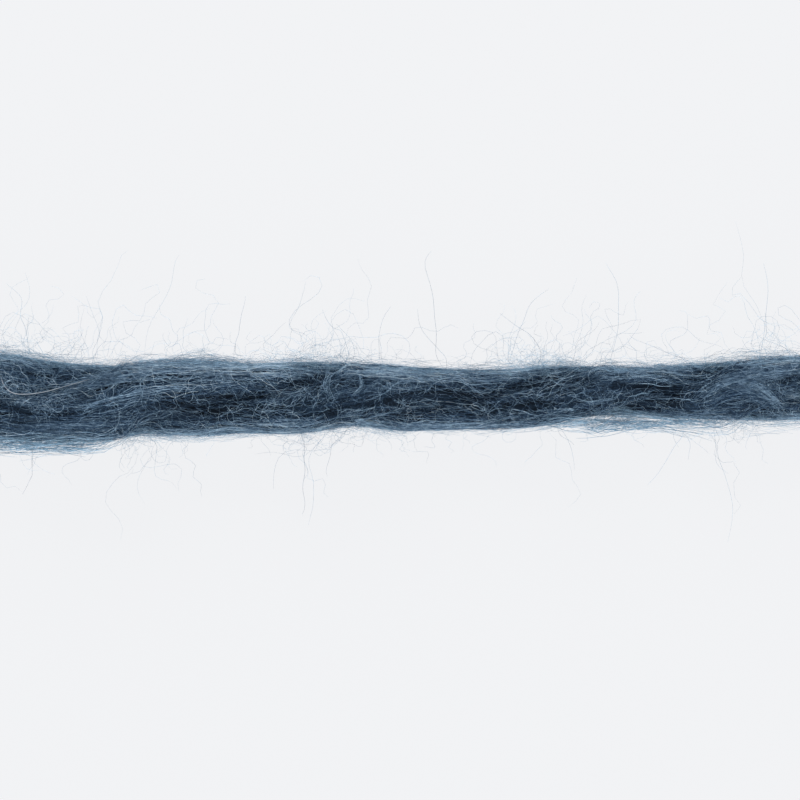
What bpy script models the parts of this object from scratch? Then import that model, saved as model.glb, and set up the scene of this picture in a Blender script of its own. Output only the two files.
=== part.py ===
"""A short cut length of bulky two-ply knitting yarn, lying on a flat surface.

The strand runs along X, the surface is the plane Z = 0, and +Z is up. Two soft plies wind round
each other with an uneven lay: the strand swells where they lie side by side and necks where one
crosses over the other. Its underside has settled flat, and stray locks of fibre stand out of it.
"""

import math
import random
from collections import namedtuple
from functools import lru_cache

import bmesh
import bpy
from mathutils import Vector, noise

MM = 0.001

# The strand
STRAND_LENGTH = 72.0
STATIONS = 72
SIDES = 36
PLY_OFFSET = 0.28  # from the middle of the strand to the middle of a ply, as a share of its bulk
PLY_RADIUS = 1.0 - PLY_OFFSET
SETTLED = 0.35  # how far its weight has pressed the underside flat
END_ROUNDING = 1.6  # length over which a cut end draws in
END_SHARE = 0.86  # width left at the cut

# Unevenness of the spinning: (length along the strand, waves round it, share of the bulk)
SLUBS = ((9.0, 1.1, 0.10), (3.5, 3.2, 0.07))

# The strand's lie, all in millimetres and degrees. "upper" and "lower" are its two edges seen from
# above, "bulk" is the radius it would have if both plies stood one over the other, and "lay" is the
# way from the middle to the first ply, turning from +Y (0) up to +Z (90).
Section = namedtuple("Section", "station upper lower bulk lay")
SECTIONS = (
    Section(-36.0, 3.3, -4.2, 3.6, 200.0),
    Section(-32.0, 3.3, -4.2, 3.6, 186.0),
    Section(-27.0, 2.9, -4.1, 3.5, 150.0),
    Section(-23.0, 2.3, -3.7, 3.2, 100.0),
    Section(-20.5, 2.6, -3.3, 3.1, 62.0),
    Section(-16.0, 2.9, -3.2, 3.1, 24.0),
    Section(-12.0, 2.8, -3.1, 3.1, 2.0),
    Section(-8.0, 2.7, -3.0, 3.0, -28.0),
    Section(-4.0, 2.6, -2.6, 2.9, -86.0),
    Section(0.0, 2.6, -3.2, 2.9, -138.0),
    Section(4.0, 2.3, -3.3, 2.9, -168.0),
    Section(8.0, 2.3, -2.7, 2.8, -190.0),
    Section(12.0, 2.4, -2.4, 2.6, -226.0),
    Section(15.5, 2.5, -2.0, 2.5, -268.0),
    Section(19.5, 2.5, -1.8, 2.4, -320.0),
    Section(23.0, 2.5, -2.0, 2.5, -380.0),
    Section(27.0, 3.0, -2.2, 2.6, -450.0),
    Section(31.0, 3.3, -2.2, 2.7, -505.0),
    Section(36.0, 3.3, -2.1, 2.7, -540.0),
)

# Locks
LOCK_SIDES = 3
LOCK_STEPS = 6
LOCK_ROOT = 0.15  # radius where a lock leaves the strand
LOCK_TIP = 0.05
LOCK_BURIED = 0.7  # how deep a lock's root is fused into the strand
LOCK_CLEAR = 0.35  # the least height of a lock's middle over the surface

# Long locks, in millimetres and degrees: where along the strand each starts, the way it leaves
# (0 is +Y, 90 is up, 180 is -Y), how far out it reaches, and how far its tip and its middle are
# carried along X.
Stray = namedtuple("Stray", "station way reach lean bow")
STRAYS = (
    Stray(-33.0, 24.0, 7.6, 0.8, -0.6),
    Stray(-30.0, 12.0, 6.4, -1.4, 1.0),
    Stray(-27.5, 38.0, 4.2, 2.0, 0.3),
    Stray(-24.6, 20.0, 6.8, 0.1, 0.5),
    Stray(-16.6, 30.0, 3.2, 0.9, 0.6),
    Stray(-13.0, 14.0, 6.2, 0.2, -0.4),
    Stray(-4.2, 26.0, 6.0, -1.6, 0.5),
    Stray(-1.4, 10.0, 5.0, 0.3, -0.4),
    Stray(3.8, 14.0, 9.8, -1.0, -1.5),
    Stray(9.0, 30.0, 9.2, 3.0, -1.4),
    Stray(10.8, 12.0, 5.0, -2.4, 1.2),
    Stray(16.4, 22.0, 9.0, 0.0, 1.3),
    Stray(25.6, 24.0, 3.4, -7.0, -1.2),
    Stray(28.6, 12.0, 7.6, 0.4, 0.5),
    Stray(31.6, 34.0, 2.8, -3.0, 0.8),
    Stray(-29.4, 172.0, 4.4, -1.0, 0.6),
    Stray(-8.0, 166.0, 7.2, 0.2, 0.5),
    Stray(-3.3, 174.0, 4.4, -2.4, -1.0),
    Stray(12.2, 168.0, 4.0, 2.0, 0.7),
    Stray(22.4, 160.0, 6.2, -3.0, 1.2),
    Stray(25.4, 172.0, 10.6, -0.6, 0.6),
    Stray(-19.0, 80.0, 3.4, 1.4, -0.8),
    Stray(-6.0, 104.0, 3.0, -1.8, 0.8),
    Stray(6.4, 70.0, 3.6, 1.6, 0.9),
    Stray(20.0, 98.0, 3.2, -1.6, -0.7),
)

# Short locks, which follow one another along the strand
FUZZ_SEED = 11
FUZZ_PITCH = 1.6
FUZZ_WAYS = (6.0, 128.0, 52.0, 176.0)  # taken in turn
FUZZ_WANDER = 14.0  # how far a way strays from these
FUZZ_REACH = (0.7, 1.7)
FUZZ_LEAN = (1.0, 2.4)

# Dyed wool
WOOL_COLOUR = (0.055, 0.125, 0.225, 1.0)
WOOL_ROUGHNESS = 0.92


def clear_scene():
    """Removes the objects that a new Blender file starts with."""
    for found in list(bpy.data.objects):
        bpy.data.objects.remove(found, do_unlink=True)


def new_collection(name):
    """A collection linked to the scene."""
    made = bpy.data.collections.new(name)
    bpy.context.scene.collection.children.link(made)
    return made


def wool_material():
    """Soft dyed wool: no shine, so nearly fully rough."""
    wool = bpy.data.materials.new("dyed_wool")
    wool.use_nodes = True
    shader = wool.node_tree.nodes["Principled BSDF"]
    shader.inputs["Base Color"].default_value = WOOL_COLOUR
    shader.inputs["Roughness"].default_value = WOOL_ROUGHNESS
    shader.inputs["Metallic"].default_value = 0.0
    return wool


def slope(index, column):
    """The rise of one column at a row of SECTIONS, for a smooth run through it."""
    before = SECTIONS[max(index - 1, 0)]
    after = SECTIONS[min(index + 1, len(SECTIONS) - 1)]
    rise = getattr(after, column) - getattr(before, column)
    return rise / (after.station - before.station)


def along(column, station):
    """The value of one column of SECTIONS at a station, on a smooth curve through its rows."""
    last = len(SECTIONS) - 2
    index = next((i for i in range(last) if station < SECTIONS[i + 1].station), last)
    low, high = SECTIONS[index], SECTIONS[index + 1]
    span = high.station - low.station
    t = (station - low.station) / span
    ease = t * t * (3.0 - 2.0 * t)
    leaving = span * slope(index, column) * t * (1.0 - t) ** 2
    arriving = span * slope(index + 1, column) * t * t * (1.0 - t)
    start, end = getattr(low, column), getattr(high, column)
    return start + (end - start) * ease + leaving - arriving


def unevenness(station, turn):
    """How much fuller (above 1) or thinner the spinning is at a place that turns with the plies."""
    total = 1.0
    for length, waves, share in SLUBS:
        place = Vector((station / length, waves * math.cos(turn), waves * math.sin(turn)))
        total += share * noise.noise(place)
    return total


def raw_radius(station, angle):
    """Distance from the middle of the section to its skin, as a share of the bulk."""
    turn = angle - math.radians(along("lay", station))
    off_axis = PLY_OFFSET * math.sin(turn)
    radius = PLY_OFFSET * abs(math.cos(turn)) + math.sqrt(PLY_RADIUS**2 - off_axis**2)
    return radius * unevenness(station, turn)


def cut_share(station):
    """How much of its width the strand keeps at a station, which is less at its cut ends."""
    left = STRAND_LENGTH / 2 - abs(station)
    if left >= END_ROUNDING:
        return 1.0
    drawn_in = 1.0 - left / END_ROUNDING
    return 1.0 - (1.0 - END_SHARE) * drawn_in**2


@lru_cache(maxsize=None)
def section_frame(station):
    """The section's lowest and highest raw Y, its lowest raw Z, and its cut share."""
    angles = [math.tau * i / SIDES for i in range(SIDES)]
    radii = [raw_radius(station, angle) for angle in angles]
    sideways = [r * math.cos(a) for r, a in zip(radii, angles)]
    upward = [r * math.sin(a) for r, a in zip(radii, angles)]
    return min(sideways), max(sideways), min(upward), cut_share(station)


def skin_point(station, angle, depth=0.0):
    """A point of the strand's skin, or so many millimetres below it, in millimetres."""
    low, high, bottom, share = section_frame(station)
    upper, lower = along("upper", station), along("lower", station)
    bulk = along("bulk", station)
    radius = raw_radius(station, angle) - depth / bulk
    middle = (upper + lower) / 2
    width = (upper - lower) * share
    y = middle + width * ((radius * math.cos(angle) - low) / (high - low) - 0.5)
    z = (radius * math.sin(angle) - bottom) * bulk * share - SETTLED
    return Vector((station, y, max(z, 0.0)))


def stepped_cone(mesh, sides, steps, root, tip, length):
    """Adds a closed cone along Z, cut into equal steps, and returns its new vertices."""
    old_verts, old_edges = len(mesh.verts), len(mesh.edges)
    bmesh.ops.create_cone(
        mesh, cap_ends=True, segments=sides, radius1=root, radius2=tip, depth=length
    )
    run = [e for e in list(mesh.edges)[old_edges:] if e.verts[0].co.z != e.verts[1].co.z]
    bmesh.ops.subdivide_edges(mesh, edges=run, cuts=steps - 1, use_grid_fill=True)
    return list(mesh.verts)[old_verts:]


def strand_mesh():
    """The two plies as one skin: a cylinder of many steps, drawn out to the strand's sections."""
    mesh = bmesh.new()
    for vert in stepped_cone(mesh, SIDES, STATIONS, 1.0, 1.0, STRAND_LENGTH):
        station = round(vert.co.z, 4)
        vert.co = skin_point(station, math.atan2(vert.co.y, vert.co.x)) * MM
    return mesh


def lock_path(stray, t):
    """The middle of a lock at a share t of its length, from its buried root to its free tip."""
    angle = math.radians(stray.way)
    root = skin_point(stray.station, angle, LOCK_BURIED)
    skin = skin_point(stray.station, angle)
    outward = (skin - root).normalized()
    tip = skin + outward * stray.reach + Vector((stray.lean, 0.0, 0.0))
    middle = (skin + tip) / 2 + Vector((stray.bow, 0.0, 0.25 * stray.reach * outward.z))
    early = root.lerp(skin, 2.0)
    late = middle * 2 - (early + tip) / 2
    point = (
        root * (1 - t) ** 3 + early * 3 * t * (1 - t) ** 2 + late * 3 * t * t * (1 - t) + tip * t**3
    )
    point.z = max(point.z, LOCK_CLEAR)
    return point


def add_lock(mesh, stray):
    """Adds one lock: a thin cone bent along its path."""
    for vert in stepped_cone(mesh, LOCK_SIDES, LOCK_STEPS, LOCK_ROOT, LOCK_TIP, 1.0):
        t = vert.co.z + 0.5
        here = lock_path(stray, t)
        heading = (lock_path(stray, t + 0.02) - lock_path(stray, t - 0.02)).normalized()
        across = heading.cross(Vector((0.0, 0.0, 1.0))).normalized()
        above = heading.cross(across)
        vert.co = (here + across * vert.co.x + above * vert.co.y) * MM


def fuzz():
    """The short locks, worked out from their pitch and the ways they take in turn."""
    draw = random.Random(FUZZ_SEED)
    count = int((STRAND_LENGTH - 4.0) / FUZZ_PITCH)
    first = -FUZZ_PITCH * (count - 1) / 2
    locks = []
    for i in range(count):
        station = first + i * FUZZ_PITCH
        way = FUZZ_WAYS[i % len(FUZZ_WAYS)] + draw.uniform(-FUZZ_WANDER, FUZZ_WANDER)
        lean = draw.uniform(*FUZZ_LEAN) * draw.choice((-1, 1))
        reach = draw.uniform(*FUZZ_REACH)
        locks.append(Stray(station, way, reach, lean, draw.uniform(-0.3, 0.3)))
    return locks


def locks_mesh():
    """All stray locks, long and short."""
    mesh = bmesh.new()
    for stray in (*STRAYS, *fuzz()):
        add_lock(mesh, stray)
    return mesh


def new_object(name, mesh, collection):
    """Turns a bmesh into a smooth-shaded object."""
    data = bpy.data.meshes.new(name)
    mesh.to_mesh(data)
    mesh.free()
    data.shade_smooth()
    made = bpy.data.objects.new(name, data)
    collection.objects.link(made)
    return made


def build():
    """The strand, with its locks fused to it at their roots."""
    clear_scene()
    part = new_collection("knitting_yarn")
    tools = new_collection("knitting_yarn_tools")
    strand = new_object("yarn_strand", strand_mesh(), part)
    strand.data.materials.append(wool_material())
    locks = new_object("stray_locks", locks_mesh(), tools)
    locks.hide_render = True
    locks.display_type = "WIRE"
    fused = strand.modifiers.new("fused_locks", "BOOLEAN")
    fused.operation = "UNION"
    fused.solver = "MANIFOLD"
    fused.object = locks


build()
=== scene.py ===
"""The looks of a short length of bulky two-ply knitting yarn, lying on a pale surface.

The strand runs along X and lies on the plane Z = 0. Its form is worked out from a short table of
sections, and all that is on it is placed by that form: the two soft plies, the fibres that lie
along them, the web of fibres that cross them, the wisps at the edges, the strays and the cut ends.
"""

import logging
import math
from dataclasses import dataclass, field
from enum import Enum

import bmesh
import bpy
import numpy as np
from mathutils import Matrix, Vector, noise


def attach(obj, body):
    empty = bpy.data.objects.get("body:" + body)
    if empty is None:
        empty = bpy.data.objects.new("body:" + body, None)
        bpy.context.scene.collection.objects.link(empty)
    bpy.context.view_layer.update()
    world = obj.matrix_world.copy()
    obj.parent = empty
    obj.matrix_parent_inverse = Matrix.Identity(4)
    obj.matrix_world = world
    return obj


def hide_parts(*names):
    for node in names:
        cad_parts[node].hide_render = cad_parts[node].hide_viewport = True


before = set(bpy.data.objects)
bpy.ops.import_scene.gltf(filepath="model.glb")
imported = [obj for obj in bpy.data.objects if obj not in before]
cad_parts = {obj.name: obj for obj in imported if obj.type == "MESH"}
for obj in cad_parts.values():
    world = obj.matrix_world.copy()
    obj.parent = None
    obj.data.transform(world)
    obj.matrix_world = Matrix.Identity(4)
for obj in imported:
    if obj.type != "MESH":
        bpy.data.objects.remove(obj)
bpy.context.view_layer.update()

MM = 0.001
BODY = "root"
NODE = "yarn_strand"
LOG = logging.getLogger("knitting_yarn")

Array = np.ndarray
Draw = np.random.Generator
Span = tuple[float, float]
Triple = tuple[float, float, float]


# ---- the strand's form


@dataclass(frozen=True)
class Section:
    """One cross-section of the strand, in millimetres and degrees.

    The edges are those seen from above, the bulk is the radius with both plies one over the other,
    and the lay is the way to the first ply, turning from +Y (0) up to +Z (90). The thin parts are
    how far in from its edges the strand is so loose that the surface shows through it.
    """

    station: float
    upper: float
    lower: float
    bulk: float
    lay: float
    thin_above: float
    thin_below: float


@dataclass(frozen=True)
class Slub:
    """Unevenness of the spinning: its length along the strand, waves round it and share of bulk."""

    length: float
    waves: float
    share: float


@dataclass(frozen=True)
class PaintedShading:
    """A soft patch of the strand's top, in millimetres, that is paler, or darker and sunken: painted light
    and painted shade, partly the yarn's own uneven tone.

    Its middle runs through a station and a place along Y with a slope, and fades along and across.
    """

    station: float
    aside: float
    along: float
    across: float
    depth: float
    slope: float = 0.0


# Patches of painted light and painted shade on the strand's top, partly the yarn's own uneven tone.
PAINTED_SHADING = tuple(PaintedShading(*row) for row in (
    (-31.2, -1.1, 1.3, 0.16, -0.8, -0.25), (-17.2, -0.85, 1.2, 0.13, -0.7, -0.12),
    (-12.6, -0.35, 1.3, 0.12, -0.75, -0.04), (-7.6, -1.2, 1.3, 0.14, -0.75, -0.1),
    (-5.7, -1.6, 0.6, 0.25, -0.42, -0.25), (-2.4, -0.85, 1.1, 0.12, -0.8, 0.1),
    (-0.5, -0.35, 0.7, 0.14, -0.75, 0.25), (2.2, -0.25, 1.8, 0.1, -0.85, -0.02),
    (4.9, -0.05, 0.8, 0.12, -0.6, -0.25), (8.1, -0.65, 0.6, 0.25, -0.35, -0.7),
    (9.3, -1.1, 1.2, 0.14, -0.7, 0.05), (11.4, -0.75, 0.8, 0.14, -0.6),
    (10.0, 0.7, 0.9, 0.12, -0.55, 0.1), (18.7, 0.62, 1.5, 0.14, -0.75, -0.04),
    (-7.2, 1.0, 1.4, 0.2, -0.45, 0.1), (31.6, 1.3, 0.8, 0.25, -0.6), (-29.8, 1.9, 2.4, 0.5, -0.16),
    (-15.6, -0.75, 3.4, 0.35, -0.22, 0.13), (-5.0, -0.65, 3.6, 0.35, -0.26, 0.08),
    (-6.0, -1.5, 1.6, 0.6, -0.28), (-4.4, 1.2, 1.6, 0.4, -0.2), (2.6, -0.2, 3.4, 0.35, -0.24, -0.03),
    (9.8, -1.0, 2.4, 0.5, -0.22), (10.0, 0.6, 1.8, 0.35, -0.12, 0.05),
    (19.2, 0.6, 3.0, 0.35, -0.24, -0.08), (24.6, 1.9, 1.8, 0.45, -0.22), (31.0, 0.9, 1.6, 1.0, -0.06),
    (-4.8, 0.5, 3.2, 0.5, -0.34), (14.4, -0.2, 3.6, 0.7, -0.26), (28.0, -0.5, 1.8, 0.5, -0.14),
    (-30.0, 2.9, 3.0, 0.4, 0.16), (-28.2, 0.8, 1.6, 0.5, 0.17), (-13.0, 2.2, 5.0, 0.6, 0.18),
    (-13.4, -2.6, 6.5, 0.4, 0.24, 0.02), (2.8, 1.8, 3.2, 0.5, 0.12), (4.0, -2.4, 5.0, 0.45, 0.12),
    (4.6, -1.1, 1.2, 0.7, 0.18), (13.0, 1.3, 1.7, 0.5, -0.2), (27.6, 1.7, 1.4, 0.45, 0.18),
    (9.8, -1.8, 2.2, 0.5, -0.1), (16.8, -1.7, 1.0, 0.4, 0.16), (27.8, 0.3, 2.0, 0.7, 0.06),
    (-29.5, 0.4, 3.0, 0.7, 0.1), (-29.4, -0.8, 2.4, 0.4, 0.12), (-8.2, 1.6, 3.0, 0.45, 0.14),
    (3.2, -1.8, 2.2, 0.6, 0.16), (-16.2, 1.0, 4.0, 0.6, 0.13), (-11.0, 1.2, 3.5, 0.6, 0.22),
    (0.1, -0.75, 1.2, 0.25, -0.26), (0.2, -2.0, 1.0, 0.4, 0.26), (3.0, -1.3, 1.2, 0.35, 0.08),
    (10.4, 1.6, 1.4, 0.45, 0.3), (16.6, 1.6, 1.0, 0.45, 0.12), (-22.4, 0.2, 1.5, 0.5, 0.12),
    (-25.2, 2.1, 1.0, 0.45, 0.2), (-31.6, 1.8, 0.8, 0.4, 0.2), (-8.3, -0.3, 0.9, 0.25, -0.18),
    (-31.6, -2.7, 1.4, 0.6, 0.2), (29.8, -1.3, 1.4, 0.35, 0.24), (22.9, 0.7, 1.4, 0.9, 0.22),
    (31.4, -0.9, 1.3, 1.2, 0.2), (31.6, 2.4, 1.8, 0.5, 0.22), (-24.0, -2.2, 3.4, 0.7, -0.12),
    (-17.6, -2.1, 1.6, 0.5, 0.18), (-0.6, 1.7, 1.4, 0.5, 0.12), (17.6, 2.3, 1.2, 0.4, 0.14),
    (-5.2, 2.0, 2.0, 0.45, 0.13), (8.2, 0.9, 0.8, 0.4, 0.14), (-9.4, 1.8, 1.2, 0.8, 0.2),
    (-9.4, -2.8, 1.1, 0.35, 0.16), (-4.2, -2.1, 0.7, 0.45, 0.16), (2.2, -1.5, 0.7, 0.4, 0.16),
))

SECTIONS = tuple(Section(*row) for row in (
    (-36.0, 3.3, -4.2, 3.6, 200.0, 0.36, 0.6), (-32.0, 3.3, -4.2, 3.6, 186.0, 0.25, 0.58),
    (-27.0, 2.9, -4.0, 3.5, 150.0, 0.46, 0.26), (-23.0, 2.3, -3.7, 3.2, 100.0, 0.13, 0.0),
    (-20.5, 2.6, -3.3, 3.1, 62.0, 0.1, 0.1), (-16.0, 2.9, -3.2, 3.1, 24.0, 0.23, -0.07),
    (-12.0, 2.8, -3.1, 3.1, 2.0, 0.5, 0.02), (-8.0, 2.7, -3.0, 3.0, -28.0, 0.28, -0.09),
    (-4.0, 2.6, -2.6, 2.9, -86.0, 0.22, 0.07), (0.0, 2.6, -3.2, 2.9, -138.0, 0.48, 0.3),
    (4.0, 2.3, -3.3, 2.9, -168.0, 0.42, 0.5), (8.0, 2.3, -2.7, 2.8, -190.0, 0.45, -0.07),
    (12.0, 2.4, -2.4, 2.6, -226.0, 0.34, 0.04), (15.5, 2.5, -2.0, 2.5, -268.0, 0.39, 0.33),
    (19.5, 2.5, -1.8, 2.4, -320.0, 0.5, 0.18), (23.0, 2.5, -2.0, 2.5, -380.0, 0.32, 0.08),
    (27.0, 3.0, -2.2, 2.6, -450.0, 0.44, 0.18), (31.0, 3.3, -2.2, 2.7, -505.0, 0.42, 0.2),
    (36.0, 3.3, -2.1, 2.7, -540.0, 0.38, 0.36),
))


def through(places: Array, values: Array, wanted: Array) -> Array:
    """Runs a smooth curve through values at uneven places.

    Args:
        places: The places, in rising order.
        values: The value at each place.
        wanted: Where the curve is read.

    Returns:
        The curve's values there.
    """
    after = np.minimum(np.arange(len(places)) + 1, len(places) - 1)
    before = np.maximum(np.arange(len(places)) - 1, 0)
    slopes = (values[after] - values[before]) / (places[after] - places[before])
    low = np.clip(np.searchsorted(places, wanted, side="right") - 1, 0, len(places) - 2)
    span = places[low + 1] - places[low]
    t = (wanted - places[low]) / span
    ease = t * t * (3.0 - 2.0 * t)
    leaving = span * slopes[low] * t * (1.0 - t) ** 2
    arriving = span * slopes[low + 1] * t * t * (1.0 - t)
    return values[low] + (values[low + 1] - values[low]) * ease + leaving - arriving


class Edge(Enum):
    """The strand's edges as seen from above, by the columns that hold their widest places."""

    UPPER = ("high", "height_above")
    LOWER = ("low", "height_below")


class Ply(Enum):
    """The two plies, by the angle at which each stands from the lay."""

    FIRST = 0.0
    SECOND = math.pi


@dataclass
class StrandForm:
    """The strand's form: where a place on a ply or on the skin lies, in millimetres."""

    length: float = 72.0
    ply_offset: float = 0.28
    settled: float = 0.35
    end_rounding: float = 1.6
    end_share: float = 0.86
    step: float = 0.25
    grid_turns: int = 96
    skin_turns: int = 72
    top_turns: int = 80
    top_steps: int = 41
    past_widest: float = 0.2
    edge_margin: float = 0.02
    floor_gap: float = 0.02
    crease: float = 0.15
    crease_width: float = math.radians(17.0)
    crevice_from: float = 0.62
    # Painted rim light: its widths at the upper and lower edges, its strength at the lower edge and the
    # height over which it comes in.
    rim_widths: Span = (1.3, 0.65)
    lower_rim: float = 0.4
    rim_height: float = 0.3
    top_from: float = 0.6
    top_gain: float = 2.5
    easing: float = 4.0
    slubs: tuple[Slub, ...] = (Slub(9.0, 1.1, 0.10), Slub(3.5, 3.2, 0.07))
    stations: Array = field(init=False)
    columns: dict[str, Array] = field(init=False)
    uneven: Array = field(init=False)
    heights: Array = field(init=False)

    def __post_init__(self) -> None:
        """Works out the columns, the unevenness and the heights at evenly spaced stations."""
        half = self.length / 2
        self.stations = np.linspace(-half, half, round(self.length / self.step) + 1)
        names = ("upper", "lower", "bulk", "lay", "thin_above", "thin_below")
        self.columns = {name: self._smooth_column(name) for name in names}
        self.columns["lay"] = np.radians(self.columns["lay"])
        self.uneven = self._uneven_grid()
        self._measure_sections()
        self.heights = self._height_grid()

    @property
    def ply_radius(self) -> float:
        """A ply's radius, as a share of the bulk."""
        return 1.0 - self.ply_offset

    def _smooth_column(self, name: str) -> Array:
        """Runs a smooth curve through one column of the sections."""
        places = np.array([row.station for row in SECTIONS])
        return through(places, np.array([getattr(row, name) for row in SECTIONS]), self.stations)

    def _uneven_grid(self) -> Array:
        """Works out the spinning's fullness.

        Returns:
            A row for each station and a column for each turn, which goes round with the plies.
        """
        turns = np.arange(self.grid_turns) * math.tau / self.grid_turns
        grid = np.ones((len(self.stations), self.grid_turns))
        for slub in self.slubs:
            for column, turn in enumerate(turns):
                aside, up = slub.waves * math.cos(turn), slub.waves * math.sin(turn)
                run = [noise.noise(Vector((x / slub.length, aside, up))) for x in self.stations]
                grid[:, column] += slub.share * np.array(run)
        beside = (np.mod(turns, math.pi) - math.pi / 2) / self.crease_width
        return grid * (1.0 - self.crease * np.exp(-(beside**2) / 2))

    def _measure_sections(self) -> None:
        """Adds the columns that fit each raw section between the strand's edges."""
        angles = np.arange(self.skin_turns) * math.tau / self.skin_turns
        x = np.repeat(self.stations[:, None], self.skin_turns, axis=1)
        raw = self.raw_radius(x, np.broadcast_to(angles, x.shape))
        across, up = raw * np.cos(angles), raw * np.sin(angles)
        self.columns |= {"low": across.min(1), "high": across.max(1), "bottom": up.min(1)}
        for name, widest in (("height_above", across.argmax(1)), ("height_below", across.argmin(1))):
            self.columns[name] = self._eased(np.take_along_axis(up, widest[:, None], 1)[:, 0])
        left = self.length / 2 - np.abs(self.stations)
        drawn_in = np.clip(1.0 - left / self.end_rounding, 0.0, 1.0)
        self.columns["share"] = 1.0 - (1.0 - self.end_share) * drawn_in**2

    def _eased(self, column: Array) -> Array:
        """Evens out a column that jumps where the plies cross."""
        window = np.hanning(2 * round(self.easing / self.step) + 1)
        return np.convolve(np.pad(column, len(window) // 2, mode="edge"), window / window.sum(), "valid")

    def _height_grid(self) -> Array:
        """Works out the height of the strand's top.

        Returns:
            A row for each station, from the lower edge to the upper one.
        """
        angles = np.linspace(math.pi + self.past_widest, -self.past_widest, self.top_turns)
        x = np.repeat(self.stations[:, None], self.top_turns, axis=1)
        tops = self.skin(x, np.broadcast_to(angles, x.shape), np.zeros(x.shape))
        shares = np.linspace(0.0, 1.0, self.top_steps)
        grid = np.zeros((len(self.stations), self.top_steps))
        for row, (top, low, high) in enumerate(zip(tops, tops[..., 1].min(1), tops[..., 1].max(1))):
            inside = np.argsort(top[:, 1])
            grid[row] = np.interp(low + shares * (high - low), top[inside, 1], top[inside, 2])
        return grid

    def at(self, name: str, x: Array) -> Array:
        """One column's value at the given stations."""
        return np.interp(x, self.stations, self.columns[name])

    def dense_edges(self, x: Array) -> tuple[Array, Array]:
        """The lower and upper edges of the strand's dense part."""
        lower = self.at("lower", x) + self.at("thin_below", x)
        return lower, self.at("upper", x) - self.at("thin_above", x)

    def top(self, x: Array, y: Array) -> Array:
        """Reads the height of the strand's top under places seen from above.

        Args:
            x: Stations.
            y: Places along Y.

        Returns:
            The heights.
        """
        lower, upper = self.dense_edges(x)
        across = np.clip((y - lower) / (upper - lower), self.edge_margin, 1.0 - self.edge_margin)
        across = across * (self.top_steps - 1)
        row = np.clip(np.rint((x + self.length / 2) / self.step), 0, len(self.stations) - 1)
        i, j = row.astype(int), across.astype(int)
        b = across - j
        return self.heights[i, j] * (1.0 - b) + self.heights[i, j + 1] * b

    def fullness(self, x: Array, turn: Array) -> Array:
        """Reads the unevenness between the points of its grid.

        Args:
            x: Stations.
            turn: Angles from the first ply.

        Returns:
            The spinning's fullness there.
        """
        row = np.clip((x + self.length / 2) / self.step, 0, len(self.stations) - 1.001)
        column = np.mod(turn, math.tau) * self.grid_turns / math.tau
        i, j = row.astype(int), column.astype(int)
        a, b = row - i, column - j
        j, k = j % self.grid_turns, (j + 1) % self.grid_turns
        near = self.uneven[i, j] * (1 - b) + self.uneven[i, k] * b
        far = self.uneven[i + 1, j] * (1 - b) + self.uneven[i + 1, k] * b
        return near * (1 - a) + far * a

    def raw_radius(self, x: Array, angle: Array) -> Array:
        """Works out the distance from the middle of a section to its skin.

        Args:
            x: Stations.
            angle: Ways from the middle.

        Returns:
            The distances, as shares of the bulk.
        """
        turn = angle - self.at("lay", x)
        off_axis = self.ply_offset * np.sin(turn)
        reach = self.ply_offset * np.abs(np.cos(turn)) + np.sqrt(self.ply_radius**2 - off_axis**2)
        return reach * self.fullness(x, turn)

    def place(self, x: Array, across: Array, up: Array) -> Array:
        """Fits a raw place of a section between the strand's edges and over the surface.

        Args:
            x: Stations.
            across: Raw places along Y, as shares of the bulk.
            up: Raw places along Z, as shares of the bulk.

        Returns:
            Points in millimetres.
        """
        low, high, share = self.at("low", x), self.at("high", x), self.at("share", x)
        lower, upper = self.dense_edges(x)
        fitted = (across - low) / (high - low) - 0.5
        y = (upper + lower) / 2 + (upper - lower) * share * fitted
        z = (up - self.at("bottom", x)) * self.at("bulk", x) * share - self.settled
        return np.stack((x, y, np.maximum(z, self.floor_gap)), axis=-1)

    def skin(self, x: Array, angle: Array, lift: Array) -> Array:
        """Points so many millimetres over the skin of the strand."""
        radius = self.raw_radius(x, angle) + lift / self.at("bulk", x)
        return self.place(x, radius * np.cos(angle), radius * np.sin(angle))

    def on_ply(self, x: Array, ply: Array, angle: Array, lift: Array) -> Array:
        """Finds places on a ply of its own, also where the other ply hides them.

        Args:
            x: Stations.
            ply: The angle at which the ply stands from the lay.
            angle: The way from the ply's middle.
            lift: Millimetres over the ply's own skin.

        Returns:
            Points in millimetres.
        """
        lay = self.at("lay", x)
        radius = self.ply_radius + lift / self.at("bulk", x)
        across = self.ply_offset * np.cos(lay + ply) + radius * np.cos(angle)
        up = self.ply_offset * np.sin(lay + ply) + radius * np.sin(angle)
        full = self.fullness(x, np.arctan2(up, across) - lay)
        return self.place(x, across * full, up * full)

    def widest(self, x: Array, side: Edge) -> Array:
        """The way from the strand's middle to where its dense part is widest."""
        across, up = side.value
        return np.arctan2(self.at(up, x), self.at(across, x))

    def shade(self, points: Array) -> Array:
        """Adds up the painted light and painted shade, partly the yarn's own uneven tone, that the patches
        put on places on the strand's top.

        Args:
            points: The places.

        Returns:
            The change of tone at each.
        """
        x, y = points[..., 0], points[..., 1]
        total = np.zeros_like(x)
        for patch in PAINTED_SHADING:
            along = (x - patch.station) / patch.along
            across = (y - patch.aside - patch.slope * (x - patch.station)) / patch.across
            total += patch.depth * np.exp(-(along**2 + across**2) / 2)
        # The painted light and shade fall only on the top, coming in above a share of the bulk.
        share = points[..., 2] / self.at("bulk", x)
        return total * (np.clip(share - self.top_from, 0.0, 1.0 / self.top_gain) * self.top_gain)

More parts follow.
